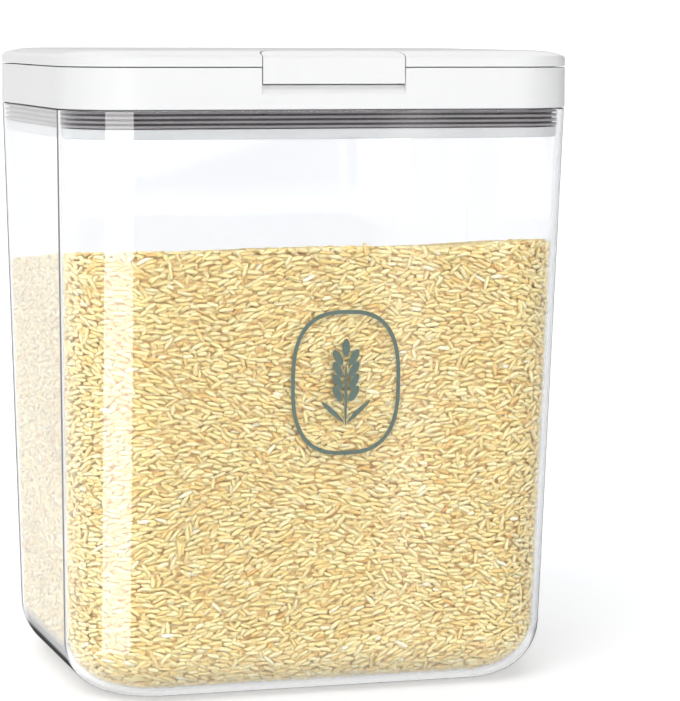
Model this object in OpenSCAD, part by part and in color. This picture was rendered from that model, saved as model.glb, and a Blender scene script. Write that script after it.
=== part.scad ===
// Rice bin with a lift-off lid and a flip cover.
// Origin at the centre of the base, Z up, front and latch toward -Y. Millimetres.

/* [Overall] */
// Width of the lid
lid_w = 200; // [190:1:215]
// Depth of the lid, without the rear knuckles
lid_d = 156; // [150:1:170]
// Plan corner radius of the lid
lid_r = 27; // [25:0.5:30]
// Height from the base to the top of the cover
total_h = 245; // [220:1:270]

/* [Clear body] */
// Wall thickness of the clear body
wall = 2; // [1.8:0.1:2.4]
// Thickness of the base
floor_t = 2.4; // [2:0.1:3]
// How far the collar overhangs the body's rim
rim_step = 0.2; // [0:0.1:0.5]
// How far each side leans in from the rim to the base
lean = 4.8; // [3:0.1:6]
// Plan corner radius at the base
base_corner_r = 35; // [32:1:38]
// Radius of the rounding along the base
base_round = 20.5; // [16:0.5:22]

/* [Lid collar] */
// Height of the collar below the seam
collar_h = 15.3; // [14.5:0.1:17]
// Wall thickness of the collar
collar_wall = 2.4; // [2.2:0.1:2.6]
// Depth of the deck below the collar's top edge
deck_drop = 4.6; // [4.4:0.1:5]
// Thickness of the deck
deck_t = 2.2; // [1.8:0.1:2.4]
// Width of the band of deck from the lid's side to the opening
opening_inset = 19; // [18:0.5:24]
// Plan corner radius of the opening
opening_r = 12; // [9:0.5:16]

/* [Plug] */
// Depth of the plug below the collar
plug_depth = 11.1; // [10.5:0.1:11.5]
// Height of the pale band under the gasket
band_h = 3.8; // [3.2:0.1:4]
// Thickness of the plug's walls and lips
plug_t = 1.8; // [1.6:0.1:2]
// Number of sealing lips on the gasket
lip_count = 4; // [3:1:5]
// Height of one sealing lip
lip_h = 0.8; // [0.6:0.1:0.9]

/* [Flip cover] */
// Height of the cover above the seam
cover_h = 6; // [5.8:0.1:6.4]
// Height of the cover's upright side
side_h = 2.8; // [2.4:0.1:3]
// Radius of the edge above the side
edge_r = 1.5; // [1:0.1:1.6]
// Width of the low dome from the side to the flat top
dome_w = 12; // [10:0.5:14]
// Open line between cover and collar
seam_gap = 0.4; // [0.3:0.1:0.6]
// Thickness of the cover's top
cover_t = 2.4; // [2:0.1:2.6]

/* [Latch] */
// Width of the latch
latch_w = 55; // [48:1:56]
// How far the latch's leg hangs below the cover
latch_drop = 6.3; // [6:0.1:6.5]
// How far the latch wraps back over the cover
latch_wrap = 8.8; // [8.6:0.1:9]
// Plan radius of the latch's rear corners
latch_corner = 7; // [5:0.5:7.5]
// Thickness of the latch's leg
leg_t = 2.4; // [2:0.1:2.6]
// Gap at each side of the latch
side_gap = 0.4; // [0.4:0.05:0.5]
// Gap behind the latch
rear_gap = 0.85; // [0.85:0.05:1]

/* [Rear hinge] */
// Distance of each hinge from the middle
hinge_x = 48; // [40:1:56]
// Width of the cover's knuckle
cover_knuckle_w = 12; // [10:1:16]
// Width of each collar knuckle
collar_knuckle_w = 8; // [6:1:10]
// Radius of a knuckle
knuckle_r = 2.8; // [2.4:0.1:2.8]
// Radius of a hinge pin
pin_r = 1.25; // [1:0.05:1.3]

/* [Hidden] */
$fn = 64;
eps = 0.01;
fit_gap = 0.05;
part_gap = 0.3;

// Heights, from the top down
cover_bottom = total_h - cover_h;
collar_top = cover_bottom - seam_gap;
collar_bottom = collar_top - collar_h;
rim_z = collar_bottom - part_gap;
deck_top = collar_top - deck_drop;
deck_bottom = deck_top - deck_t;
plug_bottom = collar_bottom - plug_depth;
band_top = plug_bottom + band_h;
gasket_top = rim_z;

// Clear body
arc_steps = 14;
round_steps = 7;
rim_w = lid_w - 2 * rim_step;
rim_d = lid_d - 2 * rim_step;
rim_r = lid_r - rim_step;

// Insets of the plug's faces from the lid's sides
lip_clear = 0.8;
lip_inset = rim_step + wall + lip_clear;
band_inset = lip_inset + 0.4;
gasket_inset = lip_inset + 1.8;
groove_inset = gasket_inset + 1.4;
neck_inset = 9.5;
lip_pitch = (gasket_top - band_top) / lip_count;

// Cover, liner and seal
rise = cover_h - side_h;
dome_r = (pow(dome_w - edge_r, 2) + pow(rise, 2) - pow(edge_r, 2)) / (2 * (rise - edge_r));
meet_x = dome_w - dome_r * (dome_w - edge_r) / (dome_r - edge_r);
rim_inset = 3.2;
hollow_low = cover_bottom + 2;
hollow_top = total_h - cover_t;
hollow_inset = 6.6;
flange_inset = rim_inset + part_gap;
flange_t = 1.4;
dish_inset = 12;
dish_bottom = deck_top + 2.6;
dish_floor = 1.6;
seal_w = 3;
seal_inset = dish_inset + 1.5;
seal_depth = 0.8;
seal_bottom = deck_top + 0.35;
post_r = 2.5;

// Latch: the front face is at -lid_d / 2
front_y = -lid_d / 2;
pivot_y = front_y + 6.2;
pivot_z = total_h - 2.2;
latch_pin_r = 0.8;
cheek_t = 2.4;
leg_bottom = cover_bottom - latch_drop;
head_t = 4.4;
nose_l = 1.3;
nose_h = 1.7;
pocket_floor = leg_bottom - 0.5;
pocket_depth = 6.8;
pocket_wall = 1.6;
catch_l = 2.7;
catch_h = 1.6;
catch_w = 40;
scoop_r = 9;
scoop_out = 6;
scoop_z = leg_bottom + 3.1;

// Rear hinge
hinge_y = lid_d / 2 + 3.2;
hinge_z = cover_bottom - seam_gap / 2;
knuckle_gap = 0.3;
hinge_w = cover_knuckle_w + 2 * collar_knuckle_w + 2 * knuckle_gap;

white = [0.95, 0.95, 0.95];
clear = [0.90, 0.93, 0.94, 0.35];
grey = [0.44, 0.42, 0.43];
milky = [0.86, 0.87, 0.87];
steel = [0.72, 0.73, 0.75];

// Rounded rectangle made of exact circles and squares
module rounded(w, d, r) {
    square([w - 2 * r, d], center = true);
    square([w, d - 2 * r], center = true);
    for (x = [-1, 1], y = [-1, 1])
        translate([x * (w / 2 - r), y * (d / 2 - r)])
            circle(r);
}

// Slab that follows the lid's plan, drawn in by an inset
module lid_slab(inset, z0, z1) {
    translate([0, 0, z0])
        linear_extrude(z1 - z0)
            rounded(lid_w - 2 * inset, lid_d - 2 * inset, lid_r - inset);
}

// Upright band between two insets of the lid's plan
module lid_band(outer, inner, z0, z1) {
    difference() {
        lid_slab(outer, z0, z1);
        lid_slab(inner, z0 - 1, z1 + 1);
    }
}

// Outline of a rounded rectangle as points
function outline(w, d, r) = [
    for (q = [0:3], i = [0:arc_steps])
        let (a = 90 * q + 90 * i / arc_steps,
             sx = (q == 0 || q == 3) ? 1 : -1,
             sy = q < 2 ? 1 : -1)
        [sx * (w / 2 - r) + r * cos(a), sy * (d / 2 - r) + r * sin(a)]
];

// Solid through levels of [z, width, depth, corner radius]
module loft(levels) {
    n = 4 * (arc_steps + 1);
    top = len(levels) - 1;
    points = [for (l = levels, p = outline(l[1], l[2], l[3])) [p[0], p[1], l[0]]];
    sides = [for (k = [0:top - 1], i = [0:n - 1])
        let (j = (i + 1) % n)
        [k * n + i, (k + 1) * n + i, (k + 1) * n + j, k * n + j]];
    polyhedron(points, concat([[for (i = [0:n - 1]) i]], sides,
                              [[for (i = [n - 1:-1:0]) top * n + i]]), convexity = 4);
}

// Level of the body at height z, drawn in by t
function body_level(z, t) =
    let (k = 1 - z / rim_z)
    [z, rim_w - 2 * (lean * k + t), rim_d - 2 * (lean * k + t),
     rim_r + (base_corner_r - rim_r) * k - t];

// Body form with a round of radius r along its base, drawn in by t
function body_levels(t, z0, r, z1) = concat(
    [for (i = [0:round_steps])
        let (a = 90 * i / round_steps)
        body_level(z0 + r * (1 - cos(a)), t + r * (1 - sin(a)))],
    [body_level(z1, t)]);

module bin_body() {
    color(clear)
        difference() {
            loft(body_levels(0, 0, base_round, rim_z));
            loft(body_levels(wall, floor_t, base_round - wall, rim_z + 1));
        }
}

// Plan of the latch, grown to the sides and to the rear
module latch_plan(side, rear, corner, z0, z1) {
    w = latch_w + 2 * side;
    back = front_y + latch_wrap + rear;
    translate([0, 0, z0])
        linear_extrude(z1 - z0) {
            translate([-w / 2, front_y - 5])
                square([w, back - corner - front_y + 5]);
            translate([-w / 2 + corner, front_y])
                square([w - 2 * corner, back - front_y]);
            for (x = [-1, 1])
                translate([x * (w / 2 - corner), back - corner])
                    circle(corner);
        }
}

// Hinge barrel and its arm, from the lid's rear face
module knuckle(x, w, arm_z0, arm_z1) {
    translate([x - w / 2, hinge_y, hinge_z])
        rotate([0, 90, 0])
            cylinder(r = knuckle_r, h = w);
    translate([x - w / 2, lid_d / 2 - 1.2, arm_z0])
        cube([w, hinge_y - lid_d / 2 + 1.2, arm_z1 - arm_z0]);
}

module hinge_bore(x, w, r) {
    translate([x - w / 2, hinge_y, hinge_z])
        rotate([0, 90, 0])
            cylinder(r = r, h = w);
}

module lid_collar() {
    knuckle_x = (cover_knuckle_w + collar_knuckle_w) / 2 + knuckle_gap;
    pocket_w = latch_w + 2 * side_gap;
    box_w = pocket_w + 2 * pocket_wall;
    box_d = pocket_depth + pocket_wall;
    color(white)
        difference() {
            union() {
                lid_band(0, collar_wall, collar_bottom, collar_top);
                lid_slab(collar_wall - eps, deck_bottom, deck_top);
                translate([-box_w / 2, front_y + collar_wall / 2, pocket_floor - 5])
                    cube([box_w, box_d - collar_wall / 2, collar_top - pocket_floor + 5]);
                for (s = [-1, 1], k = [-1, 1])
                    knuckle(s * hinge_x + k * knuckle_x, collar_knuckle_w,
                            hinge_z - knuckle_r, collar_top);
            }
            translate([0, 0, deck_bottom - 1])
                linear_extrude(deck_t + 2)
                    rounded(lid_w - 2 * opening_inset, lid_d - 2 * opening_inset, opening_r);
            difference() {
                translate([-pocket_w / 2, front_y - 1, pocket_floor])
                    cube([pocket_w, pocket_depth + 1, collar_h]);
                translate([-catch_w / 2, front_y + pocket_depth - catch_l, leg_bottom + nose_h + 0.6])
                    cube([catch_w, catch_l + 1, catch_h]);
            }
            translate([-pocket_w / 2, front_y - scoop_out, scoop_z])
                rotate([0, 90, 0])
                    cylinder(r = scoop_r, h = pocket_w);
            translate([-pocket_w / 2, front_y + collar_wall, pocket_floor - 6])
                cube([pocket_w, box_d - collar_wall - pocket_wall, 4.4]);
            for (s = [-1, 1])
                hinge_bore(s * hinge_x, hinge_w + 1, pin_r);
        }
}

module plug_frame() {
    color(milky) {
        lid_band(neck_inset, neck_inset + plug_t, gasket_top, deck_bottom);
        lid_band(lip_inset, neck_inset + plug_t, gasket_top, gasket_top + plug_t);
        lid_band(groove_inset, groove_inset + plug_t, plug_bottom, gasket_top + eps);
        lid_band(band_inset, groove_inset + plug_t, plug_bottom, band_top);
    }
}

module plug_gasket() {
    color(grey) {
        lid_band(gasket_inset, groove_inset, band_top, gasket_top);
        for (i = [0:lip_count - 1])
            let (z = band_top + (i + 0.5) * lip_pitch - lip_h / 2)
            lid_band(lip_inset, gasket_inset + eps, z, z + lip_h);
    }
}

// Section of the cover's edge, from its side inward and from its top down: an upright side, a small round
// edge and a low dome up to the flat top
module edge_profile(reach, low) {
    intersection() {
        translate([edge_r, -rise])
            circle(edge_r);
        translate([0, -low])
            square([meet_x, low]);
    }
    translate([0, -low])
        square([dome_w, low - rise]);
    intersection() {
        translate([dome_w, -dome_r])
            circle(dome_r);
        translate([meet_x, -low])
            square([dome_w - meet_x + 1, low]);
    }
    if (reach > dome_w)
        translate([dome_w, -low])
            square([reach - dome_w, low]);
}

// The same section, measured outward from a corner's turning axis
module edge_section() {
    translate([lid_r, 0])
        mirror([1, 0])
            edge_profile(lid_r, cover_h);
}

// Full cover form: straight edges and turned corners round a flat top
module cover_form() {
    span_x = lid_w - 2 * lid_r;
    span_y = lid_d - 2 * lid_r;
    translate([0, 0, total_h]) {
        for (s = [0, 180]) {
            rotate([0, 0, s])
                translate([0, span_y / 2, 0])
                    rotate([90, 0, 90])
                        translate([0, 0, -span_x / 2])
                            linear_extrude(span_x)
                                edge_section();
            rotate([0, 0, s])
                translate([span_x / 2, 0, 0])
                    rotate([90, 0, 0])
                        translate([0, 0, -span_y / 2])
                            linear_extrude(span_y)
                                edge_section();
        }
        for (i = [0:3])
            let (sx = (i == 0 || i == 3) ? 1 : -1, sy = i < 2 ? 1 : -1)
            translate([sx * span_x / 2, sy * span_y / 2, 0])
                rotate([0, 0, 90 * i])
                    rotate_extrude(angle = 90)
                        edge_section();
    }
    translate([-span_x / 2, -span_y / 2, cover_bottom])
        cube([span_x, span_y, cover_h]);
}

module flip_cover() {
    color(white)
        difference() {
            union() {
                difference() {
                    cover_form();
                    difference() {
                        union() {
                            lid_slab(rim_inset, cover_bottom - 1, hollow_low);
                            lid_slab(hollow_inset, cover_bottom - 1, hollow_top);
                        }
                        latch_plan(side_gap + cheek_t, rear_gap + cheek_t, latch_corner + cheek_t,
                                   cover_bottom - 2, total_h);
                        for (x = [-1:1], y = [-1, 1])
                            translate([x * 70, y * 42, dish_bottom + dish_floor])
                                cylinder(r = post_r, h = hollow_top);
                    }
                }
                for (x = [-1:1], y = [-1, 1])
                    translate([x * 70, y * 42, dish_bottom + dish_floor])
                        cylinder(r = post_r, h = hollow_top - dish_bottom - dish_floor);
                for (s = [-1, 1])
                    knuckle(s * hinge_x, cover_knuckle_w, cover_bottom + 0.2, hinge_z + knuckle_r);
            }
            latch_plan(side_gap, rear_gap, latch_corner, cover_bottom - 2, total_h + 1);
            translate([-latch_w / 2 - cheek_t, pivot_y, pivot_z])
                rotate([0, 90, 0])
                    cylinder(r = latch_pin_r, h = latch_w + 2 * cheek_t);
            for (s = [-1, 1])
                hinge_bore(s * hinge_x, cover_knuckle_w + 1, pin_r + fit_gap);
        }
}

module cover_liner() {
    grow = part_gap + cheek_t;
    color(white)
        difference() {
            union() {
                lid_slab(flange_inset, hollow_low - flange_t, hollow_low);
                lid_slab(dish_inset, dish_bottom, hollow_low);
            }
            lid_slab(dish_inset + 1.6, dish_bottom + dish_floor, hollow_low + 1);
            lid_band(seal_inset, seal_inset + seal_w, dish_bottom - 1, dish_bottom + seal_depth);
            latch_plan(side_gap + grow, rear_gap + grow, latch_corner + grow,
                       cover_bottom - 1, total_h);
        }
}

module cover_seal() {
    color(grey)
        lid_band(seal_inset, seal_inset + seal_w, seal_bottom, dish_bottom + seal_depth);
}

// Side section of the latch, in Y and Z: it goes on with the cover's edge
module latch_section() {
    difference() {
        translate([front_y, total_h])
            intersection() {
                edge_profile(dome_w, total_h - leg_bottom);
                translate([0, leg_bottom - total_h])
                    square([latch_wrap + 1, total_h - leg_bottom]);
            }
        translate([front_y + leg_t, leg_bottom - 1])
            square([dome_w, total_h - head_t - leg_bottom + 1]);
    }
    translate([front_y + leg_t / 2, leg_bottom + 0.2])
        square([leg_t / 2 + nose_l, nose_h]);
}

module latch() {
    color(white)
        difference() {
            intersection() {
                translate([-latch_w / 2, 0, 0])
                    rotate([90, 0, 90])
                        linear_extrude(latch_w)
                            latch_section();
                latch_plan(0, 0, latch_corner, leg_bottom - 1, total_h + 1);
            }
            translate([-latch_w / 2 - 1, pivot_y, pivot_z])
                rotate([0, 90, 0])
                    cylinder(r = latch_pin_r + fit_gap, h = latch_w + 2);
        }
}

module latch_pin() {
    color(steel)
        translate([-latch_w / 2 - cheek_t, pivot_y, pivot_z])
            rotate([0, 90, 0])
                cylinder(r = latch_pin_r, h = latch_w + 2 * cheek_t);
}

module hinge_pin(s) {
    color(steel)
        hinge_bore(s * hinge_x, hinge_w, pin_r);
}

module hinge_pin_left() { hinge_pin(-1); }
module hinge_pin_right() { hinge_pin(1); }

bin_body();
lid_collar();
plug_frame();
plug_gasket();
flip_cover();
cover_liner();
cover_seal();
latch();
latch_pin();
hinge_pin_left();
hinge_pin_right();
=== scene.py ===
import math
import random

import bmesh
import bpy
import numpy as np
from mathutils import Matrix, Vector


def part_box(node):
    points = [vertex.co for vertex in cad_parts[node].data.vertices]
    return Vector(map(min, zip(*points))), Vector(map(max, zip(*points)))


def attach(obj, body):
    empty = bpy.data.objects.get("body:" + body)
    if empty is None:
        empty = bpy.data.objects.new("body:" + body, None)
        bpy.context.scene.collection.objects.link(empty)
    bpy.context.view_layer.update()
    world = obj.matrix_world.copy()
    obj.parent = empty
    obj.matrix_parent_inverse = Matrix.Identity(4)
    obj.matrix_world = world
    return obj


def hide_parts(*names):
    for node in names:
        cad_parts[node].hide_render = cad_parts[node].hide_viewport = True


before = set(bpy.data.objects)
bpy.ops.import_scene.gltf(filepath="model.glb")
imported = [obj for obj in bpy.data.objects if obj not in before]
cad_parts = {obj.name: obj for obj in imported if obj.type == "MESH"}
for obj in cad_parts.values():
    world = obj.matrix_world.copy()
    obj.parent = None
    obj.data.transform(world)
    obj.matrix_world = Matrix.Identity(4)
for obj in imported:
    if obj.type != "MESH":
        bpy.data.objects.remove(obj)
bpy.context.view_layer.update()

MM = 0.001


# The bin itself: one injection-moulded body of clear SAN with drafted walls, wide corners and a big round
# along its base. It stands for the CAD body, which has flat facets, so that the wall refracts smoothly. It is
# a loft through rounded rings, up the outside, over the rounded rim and down the inside.
body_low, body_high = (Vector(corner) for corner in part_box("bin_body"))
RIM_Z = body_high.z
RIM_W = body_high.x - body_low.x
RIM_D = body_high.y - body_low.y
RIM_R = 26.8 * MM
RIM_ROUND = 0.5 * MM
LEAN = 4.8 * MM
BASE_CORNER_R = 35 * MM
BASE_ROUND = 20.5 * MM
WALL = 2 * MM
FLOOR_T = 2.4 * MM
CORNER_STEPS = 24
ROUND_STEPS = 12
RIM_STEPS = 6
FLAT_EDGE = 1.5 * MM
WAVES_PER_M = 30.0


def body_level(z, inset):
    """Height, width, depth and corner radius of the body's outline at height z, drawn in by inset."""
    down = 1 - z / RIM_Z
    drawn_in = 2 * (LEAN * down + inset)
    corner = RIM_R + (BASE_CORNER_R - RIM_R) * down - inset
    return z, RIM_W - drawn_in, RIM_D - drawn_in, corner


def body_levels(inset, base_z, base_round, top_z):
    """Levels from the flat of the base, round its edge and up the wall."""
    turns = [math.pi / 2 * step / ROUND_STEPS for step in range(ROUND_STEPS + 1)]
    levels = []
    for turn in turns:
        z = base_z + base_round * (1 - math.cos(turn))
        levels.append(body_level(z, inset + base_round * (1 - math.sin(turn))))
    return levels + [body_level(top_z, inset)]


def rim_levels():
    """The rounded top edge of the wall, from the outside over to the inside."""
    half = WALL / 2
    turns = [math.pi * step / RIM_STEPS for step in range(1, RIM_STEPS)]
    return [body_level(RIM_Z - RIM_ROUND * (1 - math.sin(turn)), half - half * math.cos(turn))
            for turn in turns]


def rounded_ring(bm, z, width, depth, corner):
    """Edges of one rounded rectangle: a circle whose quarters are moved apart."""
    count = 4 * CORNER_STEPS
    place = Matrix.Translation((0, 0, z)) @ Matrix.Rotation(math.pi / count, 4, "Z")
    verts = bmesh.ops.create_circle(bm, segments=count, radius=corner, matrix=place)["verts"]
    for vert in verts:
        vert.co.x += math.copysign(width / 2 - corner, vert.co.x)
        vert.co.y += math.copysign(depth / 2 - corner, vert.co.y)
    return list({edge for vert in verts for edge in vert.link_edges})


def loft(bm, levels):
    """Skin through rounded rings. Gives the edges of the first and the last."""
    rings = [rounded_ring(bm, *level) for level in levels]
    for lower, upper in zip(rings, rings[1:]):
        bmesh.ops.bridge_loops(bm, edges=lower + upper)
    return rings[0], rings[-1]


def placed(mesh, name, material, body):
    """Makes a mesh a piece of the object, which rides on a body."""
    piece = bpy.data.objects.new(name, mesh)
    bpy.context.collection.objects.link(piece)
    mesh.materials.append(material)
    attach(piece, body)
    return piece


def smoothed(bm, name, material, body, sharp=math.radians(35)):
    """Turns a bmesh into a smooth-shaded piece, with its real edges kept sharp."""
    mesh = bpy.data.meshes.new(name)
    for face in bm.faces:
        face.smooth = True
    for edge in bm.edges:
        edge.smooth = not edge.is_manifold or edge.calc_face_angle(0) < sharp
    bm.to_mesh(mesh)
    bm.free()
    piece = placed(mesh, name, material, body)
    weigh = piece.modifiers.new("even_shading", "WEIGHTED_NORMAL")
    weigh.keep_sharp = True
    return piece


def linear(hex_colour):
    """sRGB hex to the linear colour that a shader takes."""
    parts = [int(hex_colour[i:i + 2], 16) / 255 for i in (1, 3, 5)]
    return [c / 12.92 if c <= 0.04045 else ((c + 0.055) / 1.055) ** 2.4 for c in parts] + [1.0]


def new_material(name, **sockets):
    """A material with a Principled shader, its constants set on the shader's own sockets."""
    material = bpy.data.materials.new(name)
    material.use_nodes = True
    shader = material.node_tree.nodes["Principled BSDF"]
    for socket, value in sockets.items():
        shader.inputs[socket.replace("_", " ")].default_value = value
    return material, shader


def add_node(owner, kind, settings, links):
    """Adds a node and sets it up: its properties and constants, then the outputs or values fed into it."""
    node = owner.node_tree.nodes.new(kind)
    for key, value in settings.items():
        if isinstance(key, str) and hasattr(node, key):
            setattr(node, key, value)
        else:
            node.inputs[key].default_value = value
    for key, fed in links.items():
        if isinstance(fed, bpy.types.NodeSocket):
            owner.node_tree.links.new(fed, node.inputs[key])
        else:
            node.inputs[key].default_value = fed
    return node


def connect(owner, output, socket):
    owner.node_tree.links.new(output, socket)


def clear_san():
    """Clear SAN from a polished mould: sharp reflections, waves 33 mm apart, and grey seen edge-on."""
    material, shader = new_material("SAN_clear", IOR=1.57, Transmission_Weight=1.0, Roughness=0.0)
    place = add_node(material, "ShaderNodeTexCoord", {}, {})
    cloud = add_node(material, "ShaderNodeTexNoise", {"Scale": WAVES_PER_M},
                     {"Vector": place.outputs["Object"]})
    tint = add_node(material, "ShaderNodeValToRGB", {}, {"Fac": cloud.outputs["Fac"]})
    tint.color_ramp.elements[0].color = linear("#FCFDFF")
    tint.color_ramp.elements[1].color = linear("#FFFFFF")
    connect(material, tint.outputs["Color"], shader.inputs["Base Color"])
    wave = add_node(material, "ShaderNodeBump", {"Strength": 0.15, "Distance": 0.02 * MM},
                    {"Height": cloud.outputs["Fac"]})
    connect(material, wave.outputs["Normal"], shader.inputs["Normal"])
    depth = add_node(material, "ShaderNodeVolumeAbsorption",
                     {"Color": (0.0, 0.02, 0.03, 1), "Density": 10.0}, {})
    connect(material, depth.outputs["Volume"], material.node_tree.nodes["Material Output"].inputs["Volume"])
    return material


bm = bmesh.new()
outside = body_levels(0, 0, BASE_ROUND, RIM_Z - RIM_ROUND)
inside = body_levels(WALL, FLOOR_T, BASE_ROUND - WALL, RIM_Z - RIM_ROUND)
for base in loft(bm, outside + rim_levels() + inside[::-1]):
    flat = bmesh.ops.contextual_create(bm, geom=base)["faces"]
    bmesh.ops.inset_region(bm, faces=flat, thickness=FLAT_EDGE)
bmesh.ops.recalc_face_normals(bm, faces=bm.faces)
clear_bin = smoothed(bm, "clear_bin", clear_san(), "bin")
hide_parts("bin_body")


# The rice in the bin: milled kernels 3 to 6 mm long, poured to about 50 mm below the collar and fallen
# away a little to the back. Only what shows is made: kernels strewn against the walls, the base and the top
# of a plain heap. They ride with the bin.
RICE_FRONT = 171.5 * MM
RICE_FALL = 0.085
RICE_TILT = 0.012
GRAIN_LENGTH = 5.7 * MM
GRAIN_WIDTH = 1.75 * MM
GRAIN_THICK = 1.3 * MM
GRAIN_GAP = 0.15 * MM
CELL = 0.25 * MM
TURNS = 36
SIZES = (0.55, 0.7, 0.84, 0.95, 1.06)
CORE_LENGTH = 0.8
CORE_WIDTH = 0.5
GRAIN_BOW = 0.08
GRAIN_TIP = 0.09
GRAIN_ROLL = 0.6
LYING_ANY_WAY = 0.16
SHOWS_ENOUGH = 0.17
LOOSE_MM = 0.35
NEXT_LAYER_MM = (0.8, 1.1)
WALL_TRIES = 90000
TOP_TRIES = 16000
BASE_TRIES = 12000
TOP_GAP = 1.5 * MM
CHALK_PER_M = 700.0
GRAINS_PER_PIECE = 4100
pour = random.Random(55)


def rice_top(x, y):
    """Height of the poured rice: it falls to the back and a little to the left, in low waves."""
    waves = 0.5 * MM * math.sin(x * 70 + 1.5) + 0.4 * MM * math.sin(x * 31 + y * 45)
    return RICE_FRONT - RICE_FALL * (y + RIM_D / 2) + RICE_TILT * x + waves


def grain_mesh():
    """One kernel of rice along X: a small sphere drawn out, fuller than an ellipse and slightly bowed."""
    bm = bmesh.new()
    turned = Matrix.Rotation(math.pi / 2, 4, "Y")
    bmesh.ops.create_uvsphere(bm, u_segments=6, v_segments=5, radius=1.0, matrix=turned)
    for vert in bm.verts:
        along = min(abs(vert.co.x), 1.0)
        round_part = math.sqrt(max(1e-9, 1 - along ** 2))
        full = math.sqrt(max(0.0, 1 - along ** 3)) / round_part
        bow = (1 - along ** 2) * GRAIN_WIDTH * GRAIN_BOW
        vert.co = (vert.co.x * GRAIN_LENGTH / 2,
                   vert.co.y * full * GRAIN_WIDTH / 2 + bow,
                   vert.co.z * full * GRAIN_THICK / 2)
    for face in bm.faces:
        face.smooth = True
    mesh = bpy.data.meshes.new("grain")
    bm.to_mesh(mesh)
    bm.free()
    mesh.attributes.new("tone", "FLOAT", "POINT")
    return mesh


def grain_cells(turn, length, width):
    """Cells of a sheet that lie under one grain."""
    reach = int(length / 2 / CELL) + 1
    rows, columns = np.mgrid[-reach:reach + 1, -reach:reach + 1] * CELL
    along = columns * math.cos(turn) + rows * math.sin(turn)
    aside = rows * math.cos(turn) - columns * math.sin(turn)
    return np.argwhere((2 * along / length) ** 2 + (2 * aside / width) ** 2 < 1) - reach


def grain_turn(x, y):
    """Poured grains lie mostly level, in drifts, and one in six lies any way."""
    if pour.random() < LYING_ANY_WAY:
        return pour.uniform(-math.pi / 2, math.pi / 2)
    return pour.gauss(0.05, 0.33) + 0.25 * math.sin(x * 37 + y * 52)


def strew(width, height, tries):
    """Strews grains over a sheet that joins up at its sides: first ones that lie clear of each other, then
    others behind them, where enough of them shows. Gives each one's place, turn, size and layer."""
    taken = np.zeros((int(height / CELL), int(width / CELL)), np.int8)
    rows, columns = taken.shape
    kept = []
    for layer in (1, 2):
        for _ in range(tries):
            row, column = pour.randrange(rows), pour.randrange(columns)
            turn = grain_turn(column * CELL, row * CELL)
            size = pour.randrange(len(SIZES))
            step = round(turn / math.pi * TURNS) % TURNS
            core = shapes[step, size, "core"] + (row, column)
            if (taken[core[:, 0].clip(0, rows - 1), core[:, 1] % columns] >= layer).any():
                continue
            if layer == 1 and taken[core[:, 0].clip(0, rows - 1), core[:, 1] % columns].any():
                continue
            whole = shapes[step, size, "whole"] + (row, column)
            under = whole[:, 0].clip(0, rows - 1), whole[:, 1] % columns
            free = taken[under] == 0
            if layer == 2 and free.mean() < SHOWS_ENOUGH:
                continue
            taken[under] = np.where(free, layer, taken[under])
            kept.append((column * CELL, row * CELL, turn, SIZES[size], layer))
    return kept


def around(part, width, depth, corner):
    """Point and outward bearing at a part of the way round a rounded rectangle."""
    sides = (depth - 2 * corner, width - 2 * corner)
    arc = corner * math.pi / 2
    left = part * (2 * sum(sides) + 4 * arc)
    for quarter in range(4):
        side = sides[quarter % 2]
        bearing = quarter * math.pi / 2
        if left <= side:
            along = left - side / 2
            out = (width, depth)[quarter % 2] / 2
            return (out * math.cos(bearing) - along * math.sin(bearing),
                    out * math.sin(bearing) + along * math.cos(bearing), bearing)
        left -= side
        if left <= arc:
            bearing += left / corner
            centre_x = (width / 2 - corner) * (1, -1, -1, 1)[quarter]
            centre_y = (depth / 2 - corner) * (1, 1, -1, -1)[quarter]
            return centre_x + corner * math.cos(bearing), centre_y + corner * math.sin(bearing), bearing
        left -= arc
    return width / 2, corner - depth / 2, 0.0


def wall_place(part, climb):
    """Point on the bin's inside and the ways round it, up it and out of it. Climb runs up the profile from
    the flat of the base."""
    radius = BASE_ROUND - WALL
    turn = min(climb / radius, math.pi / 2)
    z = FLOOR_T + radius * (1 - math.cos(turn)) + max(climb - radius * math.pi / 2, 0)
    _, width, depth, corner = body_level(z, WALL + radius * (1 - math.sin(turn)))
    x, y, bearing = around(part, width, depth, corner)
    across = Vector((-math.sin(bearing), math.cos(bearing), 0))
    out = Vector((math.cos(bearing) * math.sin(turn), math.sin(bearing) * math.sin(turn), -math.cos(turn)))
    return Vector((x, y, z)), across, out.cross(across), out


def grain_place(point, across, up, out, turn, size, layer):
    """Matrix of a grain that lies against a surface, or a little under those that do."""
    tip = pour.gauss(0, GRAIN_TIP)
    sink = GRAIN_GAP + GRAIN_WIDTH * 0.54 + abs(math.sin(tip)) * GRAIN_LENGTH * size / 2
    sink += pour.uniform(0, LOOSE_MM) * MM + (layer - 1) * pour.uniform(*NEXT_LAYER_MM) * MM
    lie = Matrix((across, up, out)).transposed().to_4x4()
    spin = Matrix.Rotation(turn, 4, "Z") @ Matrix.Rotation(tip, 4, "Y")
    spin = spin @ Matrix.Rotation(pour.gauss(0, GRAIN_ROLL), 4, "X")
    return Matrix.Translation(point - out * sink) @ lie @ spin @ Matrix.Diagonal((size, 1, 1, 1))


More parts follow.
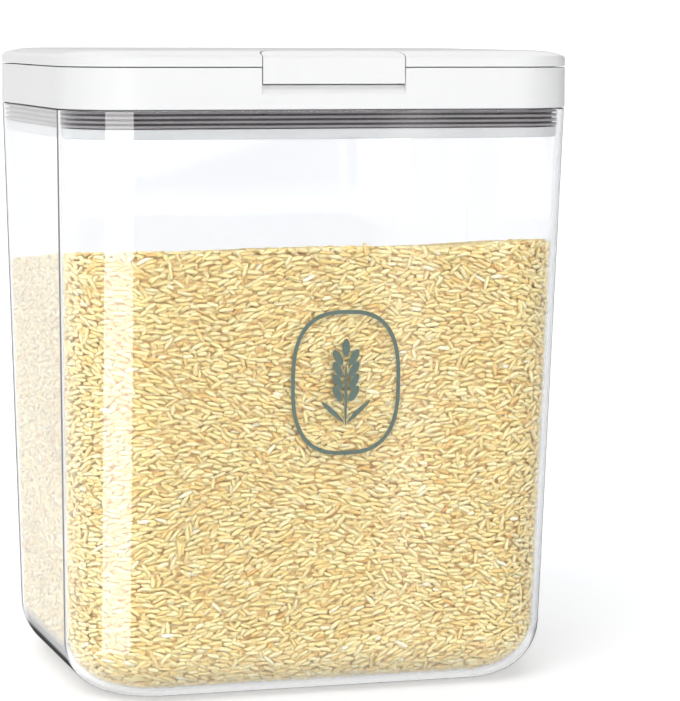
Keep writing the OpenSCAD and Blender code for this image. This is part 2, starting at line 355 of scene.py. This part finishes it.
def polished_rice():
    """Milled long-grain rice: pale straw kernels, some golden and some chalky, with a dull waxy shine."""
    material, shader = new_material("Rice_milled_long_grain", Roughness=0.5, IOR=1.45, Subsurface_Weight=0.35,
                                    Subsurface_Scale=0.9 * MM, Subsurface_Radius=(1.0, 0.8, 0.5))
    tone = add_node(material, "ShaderNodeAttribute", {"attribute_name": "tone"}, {})
    ramp = add_node(material, "ShaderNodeValToRGB", {}, {"Fac": tone.outputs["Fac"]})
    stops = ((0.0, "#E2B064"), (0.12, "#F4D48C"), (0.5, "#FBE4A4"), (0.9, "#FDEDBB"), (1.0, "#FFFBEA"))
    while len(ramp.color_ramp.elements) < len(stops):
        ramp.color_ramp.elements.new(0.5)
    for element, (spot, colour) in zip(ramp.color_ramp.elements, stops):
        element.position = spot
        element.color = linear(colour)
    place = add_node(material, "ShaderNodeTexCoord", {}, {})
    chalk = add_node(material, "ShaderNodeTexNoise", {"Scale": CHALK_PER_M},
                     {"Vector": place.outputs["Object"]})
    veil = add_node(material, "ShaderNodeMapRange", {"From Min": 0.35, "From Max": 0.7, "To Min": 0.92,
                                                      "To Max": 1.05}, {"Value": chalk.outputs["Fac"]})
    tint = add_node(material, "ShaderNodeVectorMath", {"operation": "SCALE"},
                    {0: ramp.outputs["Color"], "Scale": veil.outputs["Result"]})
    connect(material, tint.outputs["Vector"], shader.inputs["Base Color"])
    return material


def rice_pieces(name, places):
    """Meshes of many kernels, each a stamp of the same one with its own tone."""
    for start in range(0, len(places), GRAINS_PER_PIECE):
        bm = bmesh.new()
        for place in places[start:start + GRAINS_PER_PIECE]:
            kernel = grain.copy()
            kernel.transform(place)
            tone = pour.betavariate(2.2, 2.0)
            kernel.attributes["tone"].data.foreach_set("value", [tone] * len(kernel.vertices))
            bm.from_mesh(kernel)
            bpy.data.meshes.remove(kernel)
        mesh = bpy.data.meshes.new(name)
        bm.to_mesh(mesh)
        bm.free()
        placed(mesh, "%s_%d" % (name, start // GRAINS_PER_PIECE + 1), straw, "bin")


grain = grain_mesh()
straw = polished_rice()
shapes = {}
for step in range(TURNS):
    for size, stretch in enumerate(SIZES):
        turn = math.pi * step / TURNS
        shapes[step, size, "whole"] = grain_cells(turn, GRAIN_LENGTH * stretch, GRAIN_WIDTH)
        shapes[step, size, "core"] = grain_cells(turn, GRAIN_LENGTH * stretch * CORE_LENGTH,
                                                 GRAIN_WIDTH * CORE_WIDTH)

_, mid_w, mid_d, mid_r = body_level(RICE_FRONT / 2, WALL)
girth = 2 * (mid_w + mid_d) - 8 * mid_r + 2 * math.pi * mid_r
profile = (BASE_ROUND - WALL) * math.pi / 2 + RICE_FRONT - FLOOR_T - (BASE_ROUND - WALL)
places = []
for along, climb, turn, size, layer in strew(girth, profile, WALL_TRIES):
    point, across, up, out = wall_place(along / girth, climb)
    if point.z < rice_top(point.x, point.y) - GRAIN_THICK / 2:
        places.append(grain_place(point, across, up, out, turn, size, layer))
rice_pieces("rice_wall", places)

EAST, NORTH, UP = Vector((1, 0, 0)), Vector((0, 1, 0)), Vector((0, 0, 1))
_, top_w, top_d, top_r = body_level(RICE_FRONT, WALL + TOP_GAP)
places = []
for along, back, turn, size, layer in strew(top_w, top_d, TOP_TRIES):
    x, y = along - top_w / 2, back - top_d / 2
    over = math.hypot(max(abs(x) - top_w / 2 + top_r, 0), max(abs(y) - top_d / 2 + top_r, 0))
    if over < top_r - GRAIN_WIDTH:
        point = Vector((x, y, rice_top(x, y) + GRAIN_THICK))
        places.append(grain_place(point, EAST, NORTH, UP, turn * 2, size, layer))
rice_pieces("rice_top", places)

_, low_w, low_d, low_r = body_level(FLOOR_T, WALL + BASE_ROUND - WALL)
places = []
for along, back, turn, size, layer in strew(low_w, low_d, BASE_TRIES):
    x, y = along - low_w / 2, low_d / 2 - back
    over = math.hypot(max(abs(x) - low_w / 2 + low_r, 0), max(abs(y) - low_d / 2 + low_r, 0))
    if over < low_r:
        places.append(grain_place(Vector((x, y, FLOOR_T)), EAST, -NORTH, -UP, turn * 2, size, layer))
rice_pieces("rice_base", places)

HEAP_GAP = 2.7 * MM
HEAP_BELOW_TOP = 1.6 * MM
HEAP_OFF_FLOOR = 2 * MM
SHADES_PER_M = 330.0
bm = bmesh.new()
heap = body_levels(WALL + HEAP_GAP, FLOOR_T + HEAP_OFF_FLOOR, BASE_ROUND - WALL - HEAP_GAP, RIM_Z)
for end in loft(bm, heap):
    bmesh.ops.contextual_create(bm, geom=end)
slope = Vector((-RICE_TILT, RICE_FALL, 1))
cut_at = Vector((0, -RIM_D / 2, RICE_FRONT - HEAP_BELOW_TOP))
cut = bmesh.ops.bisect_plane(bm, geom=bm.verts[:] + bm.edges[:] + bm.faces[:], plane_co=cut_at,
                             plane_no=slope, clear_outer=True)["geom_cut"]
bmesh.ops.contextual_create(bm, geom=[edge for edge in cut if isinstance(edge, bmesh.types.BMEdge)])
bmesh.ops.recalc_face_normals(bm, faces=bm.faces)


def shaded_rice():
    """The rice behind the first kernels, as it shows in the gaps: painted shade in golden brown, darker to
    grain-sized cells' edges.
    """
    material, shader = new_material("Rice_in_shade", Roughness=0.6)
    place = add_node(material, "ShaderNodeTexCoord", {}, {})
    squash = add_node(material, "ShaderNodeMapping", {"Scale": (1.0, 1.0, 2.6)},
                      {"Vector": place.outputs["Object"]})
    gap_shade_cells = add_node(material, "ShaderNodeTexVoronoi", {"Scale": SHADES_PER_M},
                      {"Vector": squash.outputs["Vector"]})
    # Painted shade: the colour darkens from the middle of each grain-sized cell to its edge, where gaps would
    # lie in shadow.
    ramp = add_node(material, "ShaderNodeValToRGB", {}, {"Fac": gap_shade_cells.outputs["Distance"]})
    ramp.color_ramp.elements[0].color = linear("#F3D692")
    ramp.color_ramp.elements[1].color = linear("#B98A48")
    ramp.color_ramp.elements[0].position = 0.25
    ramp.color_ramp.elements[1].position = 0.85
    connect(material, ramp.outputs["Color"], shader.inputs["Base Color"])
    return material


smoothed(bm, "rice_heap", shaded_rice(), "bin")


# The mark on the front: a rounded ring with a plain ear of rice in it, screen-printed in grey-green ink.
# It is a film 0.04 mm thick that follows the leaning front wall.
MARK_X = 5.7 * MM
MARK_Z = 120.6 * MM
MARK_W = 43 * MM
MARK_H = 55 * MM
STROKE = 1.5 * MM
INK = 0.04 * MM
SQUARENESS = 2.7
PATCHES_PER_M = 500.0


def flat_leaf(bm, x, y, half_width, half_length, turn):
    """One leaf or kernel of the print: a narrow ellipse, turned from upright."""
    place = Matrix.Translation((x, y, 0)) @ Matrix.Rotation(-turn, 4, "Z")
    size = Matrix.Diagonal((half_width, half_length, 1, 1))
    bmesh.ops.create_circle(bm, cap_ends=True, segments=24, radius=1.0, matrix=place @ size)


def printed_ink():
    """Matt screen ink: one grey-green, a little thin in places as printing leaves it."""
    material, shader = new_material("Ink_grey_green", Roughness=0.5)
    place = add_node(material, "ShaderNodeTexCoord", {}, {})
    coat = add_node(material, "ShaderNodeTexNoise", {"Scale": PATCHES_PER_M},
                    {"Vector": place.outputs["Object"]})
    ramp = add_node(material, "ShaderNodeValToRGB", {}, {"Fac": coat.outputs["Fac"]})
    ramp.color_ramp.elements[0].color = linear("#566860")
    ramp.color_ramp.elements[1].color = linear("#6A7C73")
    connect(material, ramp.outputs["Color"], shader.inputs["Base Color"])
    return material


bm = bmesh.new()
rim = bmesh.ops.create_circle(bm, cap_ends=True, segments=128, radius=1.0)["verts"]
for vert in rim:
    vert.co.x = math.copysign(abs(vert.co.x) ** (2 / SQUARENESS), vert.co.x) * MARK_W / 2
    vert.co.y = math.copysign(abs(vert.co.y) ** (2 / SQUARENESS), vert.co.y) * MARK_H / 2
middle = bm.faces[:]
bmesh.ops.inset_region(bm, faces=middle, use_boundary=True, thickness=STROKE)
bmesh.ops.delete(bm, geom=middle, context="FACES")
flat_leaf(bm, 0, -4.5 * MM, 0.55 * MM, 12 * MM, 0)
flat_leaf(bm, 0, 13.2 * MM, 1.5 * MM, 3.4 * MM, 0)
for side in (-1, 1):
    flat_leaf(bm, side * 5.2 * MM, -11.0 * MM, 0.85 * MM, 6.0 * MM, side * math.radians(48))
    for row in range(4):
        flat_leaf(bm, side * 3.2 * MM, (-4.2 + 4.6 * row) * MM, 1.45 * MM, 3.3 * MM, side * math.radians(30))
bmesh.ops.recalc_face_normals(bm, faces=bm.faces)
bmesh.ops.solidify(bm, geom=bm.faces[:], thickness=INK)
bmesh.ops.recalc_face_normals(bm, faces=bm.faces)
lean = math.atan(LEAN / RIM_Z)
front_y = -RIM_D / 2 + LEAN * (1 - MARK_Z / RIM_Z)
stand = Matrix.Translation((MARK_X, front_y - INK, MARK_Z)) @ Matrix.Rotation(math.pi / 2 + lean, 4, "X")
bmesh.ops.transform(bm, matrix=stand, verts=bm.verts)
smoothed(bm, "printed_mark", printed_ink(), "bin")


# The lid collar: the white ABS ring that sits on the rim and carries the plug. Moulded edges are never sharp,
# so the CAD shape is copied and its edges are eased.
EASE = 0.35 * MM
SHARP = math.radians(35)
SHADINGS_PER_M = 14.0
GRAIN_PER_M = 2500.0


def eased(node, material, body, width=EASE):
    """A copy of a CAD node with its sharp edges eased, which stands for the node."""
    bm = bmesh.new()
    bm.from_mesh(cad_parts[node].data)
    bmesh.ops.remove_doubles(bm, verts=bm.verts, dist=0.002 * MM)
    bmesh.ops.dissolve_limit(bm, angle_limit=math.radians(1), verts=bm.verts, edges=bm.edges)
    edges = [edge for edge in bm.edges if edge.is_manifold and edge.calc_face_angle(0) > SHARP]
    bmesh.ops.bevel(bm, geom=edges, offset=width, offset_type="OFFSET", segments=2, profile=0.5, material=-1,
                    affect="EDGES", clamp_overlap=True)
    piece = smoothed(bm, "%s_moulding" % node, material, body)
    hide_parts(node)
    return piece


def white_abs():
    """White ABS from a fine-textured mould: satin, near white, with a grain too fine to see as dots."""
    material, shader = new_material("ABS_white", IOR=1.53)
    place = add_node(material, "ShaderNodeTexCoord", {}, {})
    broad = add_node(material, "ShaderNodeTexNoise", {"Scale": SHADINGS_PER_M},
                     {"Vector": place.outputs["Object"]})
    shade = add_node(material, "ShaderNodeValToRGB", {}, {"Fac": broad.outputs["Fac"]})
    shade.color_ramp.elements[0].color = linear("#E5E5E5")
    shade.color_ramp.elements[1].color = linear("#E9E9E9")
    connect(material, shade.outputs["Color"], shader.inputs["Base Color"])
    fine = add_node(material, "ShaderNodeTexNoise", {"Scale": GRAIN_PER_M},
                    {"Vector": place.outputs["Object"]})
    rough = add_node(material, "ShaderNodeMapRange", {"To Min": 0.26, "To Max": 0.40},
                     {"Value": fine.outputs["Fac"]})
    connect(material, rough.outputs["Result"], shader.inputs["Roughness"])
    grain_bump = add_node(material, "ShaderNodeBump", {"Strength": 0.1, "Distance": 0.01 * MM},
                          {"Height": fine.outputs["Fac"]})
    connect(material, grain_bump.outputs["Normal"], shader.inputs["Normal"])
    return material


white = white_abs()
eased("lid_collar", white, "lid")


# The plug frame under the collar: milky polypropylene, screwed up into the collar, which holds the gasket
# and shows below it as a pale band.
FINE_EASE = 0.25 * MM
CLOUDS_PER_M = 40.0


def milky_pp():
    """Natural polypropylene: milky and slightly uneven, with a soft shine."""
    material, shader = new_material("Polypropylene_milky", Roughness=0.35, IOR=1.49)
    place = add_node(material, "ShaderNodeTexCoord", {}, {})
    cloud = add_node(material, "ShaderNodeTexNoise", {"Scale": CLOUDS_PER_M},
                     {"Vector": place.outputs["Object"]})
    shade = add_node(material, "ShaderNodeValToRGB", {}, {"Fac": cloud.outputs["Fac"]})
    shade.color_ramp.elements[0].color = linear("#BFC0C0")
    shade.color_ramp.elements[1].color = linear("#C6C7C7")
    connect(material, shade.outputs["Color"], shader.inputs["Base Color"])
    return material


milky = milky_pp()
eased("plug_frame", milky, "lid", FINE_EASE)


# The gasket round the plug and the seal under the cover: soft grey silicone, moulded in one piece each.
# Near-black bands of painted shade stand for the shadow in the grooves between the gasket's four lips; the
# seal gets paler ones.
LIP_PITCH = 1.75 * MM
DUST_PER_M = 600.0


def grey_silicone(name, low, painted_groove_shade, lip_colours):
    """Moulded silicone: grey and dull, a little dusty, with bands of painted groove shade counted up from
    height low.
    """
    material, shader = new_material(name, Roughness=0.75, IOR=1.41)
    place = add_node(material, "ShaderNodeTexCoord", {}, {})
    dust = add_node(material, "ShaderNodeTexNoise", {"Scale": DUST_PER_M},
                    {"Vector": place.outputs["Object"]})
    lip = add_node(material, "ShaderNodeValToRGB", {}, {"Fac": dust.outputs["Fac"]})
    lip.color_ramp.elements[0].color = linear(lip_colours[0])
    lip.color_ramp.elements[1].color = linear(lip_colours[1])
    # Painted shade: bands at the lip pitch, counted up from height low, take the groove colour where grooves
    # lie in shadow.
    height = add_node(material, "ShaderNodeSeparateXYZ", {}, {"Vector": place.outputs["Object"]})
    above = add_node(material, "ShaderNodeMath", {"operation": "SUBTRACT", 1: low},
                     {0: height.outputs["Z"]})
    pitches = add_node(material, "ShaderNodeMath", {"operation": "DIVIDE", 1: LIP_PITCH},
                       {0: above.outputs[0]})
    step = add_node(material, "ShaderNodeMath", {"operation": "PINGPONG", 1: 0.5},
                    {0: pitches.outputs[0]})
    groove_shade = add_node(material, "ShaderNodeValToRGB", {}, {"Fac": step.outputs[0]})
    groove_shade.color_ramp.elements[0].color = (1, 1, 1, 1)
    groove_shade.color_ramp.elements[0].position = 0.22
    groove_shade.color_ramp.elements[1].color = (0, 0, 0, 1)
    groove_shade.color_ramp.elements[1].position = 0.26
    shade = add_node(material, "ShaderNodeMixRGB", {"Color2": linear(painted_groove_shade)},
                     {"Fac": groove_shade.outputs["Color"], "Color1": lip.outputs["Color"]})
    connect(material, shade.outputs["Color"], shader.inputs["Base Color"])
    return material


def dress(node, material):
    """Gives a CAD node that keeps its own shape another material."""
    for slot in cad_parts[node].material_slots:
        slot.material = material


gasket_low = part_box("plug_gasket")[0][2]
seal_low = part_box("cover_seal")[0][2]
# The groove colours are painted shade: near black in the gasket's grooves, a paler grey in the seal's.
for node, low, groove_shade in (("plug_gasket", gasket_low, "#0C0A0B"), ("cover_seal", seal_low, "#6E696B")):
    dress(node, grey_silicone("Silicone_%s" % node, low, groove_shade, ("#7C7678", "#8A8486")))


# The flip cover: the white ABS lid that swings up on the rear hinge, with its liner clipped in below.
eased("flip_cover", white, "cover")
eased("cover_liner", white, "cover", FINE_EASE)


# The latch: the white ABS tab in the front of the cover, which turns on a steel pin.
LATCH_EASE = 0.3 * MM
eased("latch", white, "latch", LATCH_EASE)


# The pins of the latch and of the rear hinge: drawn steel wire, bright, with fine lines along it.
def drawn_steel():
    """Drawn stainless wire: bright grey, with drawing lines drawn coarse enough to show."""
    material, shader = new_material("Stainless_steel_drawn", Metallic=1.0)
    place = add_node(material, "ShaderNodeTexCoord", {}, {})
    along = add_node(material, "ShaderNodeMapping", {"Scale": (20.0, 900.0, 900.0)},
                     {"Vector": place.outputs["Object"]})
    lines = add_node(material, "ShaderNodeTexNoise", {"Scale": 3.0}, {"Vector": along.outputs["Vector"]})
    rough = add_node(material, "ShaderNodeMapRange", {"To Min": 0.2, "To Max": 0.4},
                     {"Value": lines.outputs["Fac"]})
    connect(material, rough.outputs["Result"], shader.inputs["Roughness"])
    shade = add_node(material, "ShaderNodeValToRGB", {}, {"Fac": lines.outputs["Fac"]})
    shade.color_ramp.elements[0].color = linear("#BDBEC0")
    shade.color_ramp.elements[1].color = linear("#D2D3D5")
    connect(material, shade.outputs["Color"], shader.inputs["Base Color"])
    return material


steel = drawn_steel()
for node in ("latch_pin", "hinge_pin_left", "hinge_pin_right"):
    dress(node, steel)


# The studio: a matt white light table and a white surround. What lights the matt surfaces is a bright room
# that is darker to the right. What the gloss reflects is a dim front with one wide card and one narrow one,
# and a dark card behind, which draws the dark line along the clear edges.
FLOOR_REACH = 12.0
FLOOR_DROP = 0.1 * MM
floor_mesh = bpy.data.meshes.new("floor")
bm = bmesh.new()
bmesh.ops.create_grid(bm, x_segments=1, y_segments=1, size=FLOOR_REACH)
bm.to_mesh(floor_mesh)
bm.free()
floor = bpy.data.objects.new("floor", floor_mesh)
bpy.context.collection.objects.link(floor)
floor_paint, _ = new_material("Floor_light_table", Base_Color=linear("#E4E4E4"), Roughness=0.9,
                              Emission_Color=linear("#FAFCFF"), Emission_Strength=0.5)
floor_mesh.materials.append(floor_paint)
floor.location.z = -FLOOR_DROP
floor.visible_glossy = False

SEEN_WHITE = 1.34
RICE_LIGHT = 6.2
ROOM_LIGHT = 0.1
ROOM_TOP = 0.4
ROOM_FRONT = 0.5
ROOM_KEY = 5.5
DIM_FRONT = 0.16
TOP_LIGHT = 0.6
REAR_LIGHT = 0.9
LEFT_LIGHT = 0.45
FLOOR_SEEN = 0.9
WIDE_CARD = 6.8
NARROW_CARD = 1.0
CARD_LEAN = math.radians(190)
DARK_CARD_AT = (0.284, 0.952, -0.113)
DARK_CARD_EDGE = math.radians(22)
DARK_CARD_FULL = math.radians(17)

world = bpy.data.worlds.new("studio")
bpy.context.scene.world = world
world.use_nodes = True
place = add_node(world, "ShaderNodeTexCoord", {}, {})
way = add_node(world, "ShaderNodeSeparateXYZ", {}, {"Vector": place.outputs["Generated"]})
to_right, to_rear, to_top = way.outputs
to_front = add_node(world, "ShaderNodeMath", {"operation": "MULTIPLY", 1: -1.0}, {0: to_rear}).outputs[0]
azimuth = add_node(world, "ShaderNodeMath", {"operation": "ARCTAN2"}, {0: to_right, 1: to_front}).outputs[0]
leaning = add_node(world, "ShaderNodeMath", {"operation": "MULTIPLY_ADD", 1: -CARD_LEAN},
                   {0: to_top, 2: azimuth}).outputs[0]


def soft_light(power, edges):
    """A light that is full past each edge. An edge is a value, where the light is dark and where full."""
    for value, dark, full in edges:
        edge = add_node(world, "ShaderNodeMapRange",
                        {"interpolation_type": "SMOOTHSTEP", "From Min": dark, "From Max": full},
                        {"Value": value, "To Max": power})
        power = edge.outputs["Result"]
    return power


def lit(total, power, *edges):
    """Adds a light to the total."""
    light = soft_light(power, edges)
    return add_node(world, "ShaderNodeMath", {"operation": "ADD"}, {0: total, 1: light}).outputs[0]


def shaded(total, share, *edges):
    """Takes away a share of the light."""
    lost = soft_light(total, edges)
    return add_node(world, "ShaderNodeMath", {"operation": "MULTIPLY_ADD", 1: -share},
                    {0: lost, 2: total}).outputs[0]


room = lit(ROOM_LIGHT, ROOM_TOP, (to_top, 0.3, 0.9))
room = lit(room, ROOM_FRONT, (to_front, 0.2, 0.9))
room = lit(room, ROOM_KEY, (to_front, 0.1, 0.5), (to_right, 0.1, -0.4), (to_top, 0.5, 0.75))
room = shaded(room, 0.75, (to_right, 0.2, 0.9))

gloss = lit(DIM_FRONT, TOP_LIGHT, (to_top, 0.15, 0.55))
gloss = lit(gloss, REAR_LIGHT, (to_rear, -0.1, 0.6))
gloss = shaded(gloss, 0.85, (to_right, 0.45, 0.75))
gloss = lit(gloss, LEFT_LIGHT, (to_right, -0.55, -0.95))
gloss = lit(gloss, FLOOR_SEEN, (to_top, -0.25, -0.4))
facing = add_node(world, "ShaderNodeVectorMath", {"operation": "DOT_PRODUCT", 1: DARK_CARD_AT},
                  {0: place.outputs["Generated"]}).outputs["Value"]
gloss = shaded(gloss, 0.92, (facing, math.cos(DARK_CARD_EDGE), math.cos(DARK_CARD_FULL)))
gloss = lit(gloss, WIDE_CARD, (leaning, math.radians(-27), math.radians(-25)),
            (leaning, math.radians(15.5), math.radians(13.5)), (to_top, -0.37, -0.27), (to_top, 0.17, 0.12))
gloss = lit(gloss, NARROW_CARD, (azimuth, math.radians(17.8), math.radians(18.6)),
            (azimuth, math.radians(19.5), math.radians(18.7)), (to_top, -0.35, -0.3), (to_top, 0.15, 0.1))

rays = add_node(world, "ShaderNodeLightPath", {}, {})
clear = add_node(world, "ShaderNodeMath", {"operation": "MAXIMUM"},
                 {0: rays.outputs["Is Camera Ray"], 1: rays.outputs["Is Transmission Ray"]})
straight = add_node(world, "ShaderNodeMapRange", {"To Min": 1.0, "To Max": 0.0},
                    {"Value": rays.outputs["Glossy Depth"]})
seen = add_node(world, "ShaderNodeMath", {"operation": "MULTIPLY"},
                {0: clear.outputs[0], 1: straight.outputs["Result"]})
rice_light = shaded(RICE_LIGHT, 0.6, (to_right, 0.1, 0.8))
through = add_node(world, "ShaderNodeMapRange", {"To Min": SEEN_WHITE},
                   {"Value": rays.outputs["Diffuse Depth"], "To Max": rice_light})
matt = add_node(world, "ShaderNodeMapRange", {},
                {"Value": rays.outputs["Is Diffuse Ray"], "To Min": gloss, "To Max": room})
light = add_node(world, "ShaderNodeMapRange", {}, {"Value": seen.outputs[0], "To Min": matt.outputs["Result"],
                                                   "To Max": through.outputs["Result"]})
surround = world.node_tree.nodes["Background"]
surround.inputs["Color"].default_value = (1, 1, 1, 1)
connect(world, light.outputs["Result"], surround.inputs["Strength"])
bpy.context.scene.view_settings.view_transform = "Standard"


# The camera stands 1.2 m away, a little left of the front and slightly above the lid, as in the photograph.
FOCAL_PX = 3005.886
FRAME_W, FRAME_H = 680, 701
CENTRE_U, CENTRE_V = 310, 340
CAMERA_AT = Vector((-328.1, -1148.05, 253.87)) * MM
YAW, PITCH, ROLL = 0.28967, 0.10398, 0.00355
lens = bpy.data.cameras.new("camera")
lens.sensor_width = 36
lens.lens = FOCAL_PX * lens.sensor_width / FRAME_H
lens.shift_x = (FRAME_W / 2 - CENTRE_U) / FRAME_H
lens.shift_y = -(FRAME_H / 2 - CENTRE_V) / FRAME_H
lens.clip_start = 0.05
camera = bpy.data.objects.new("camera", lens)
bpy.context.collection.objects.link(camera)
forward = Vector((math.sin(YAW) * math.cos(PITCH), math.cos(YAW) * math.cos(PITCH), -math.sin(PITCH)))
level = Vector((math.cos(YAW), -math.sin(YAW), 0))
above = level.cross(forward)
right = level * math.cos(ROLL) + above * math.sin(ROLL)
above = above * math.cos(ROLL) - level * math.sin(ROLL)
aim = Matrix((right, above, -forward)).transposed().to_4x4()
camera.matrix_world = Matrix.Translation(CAMERA_AT) @ aim
bpy.context.scene.camera = camera
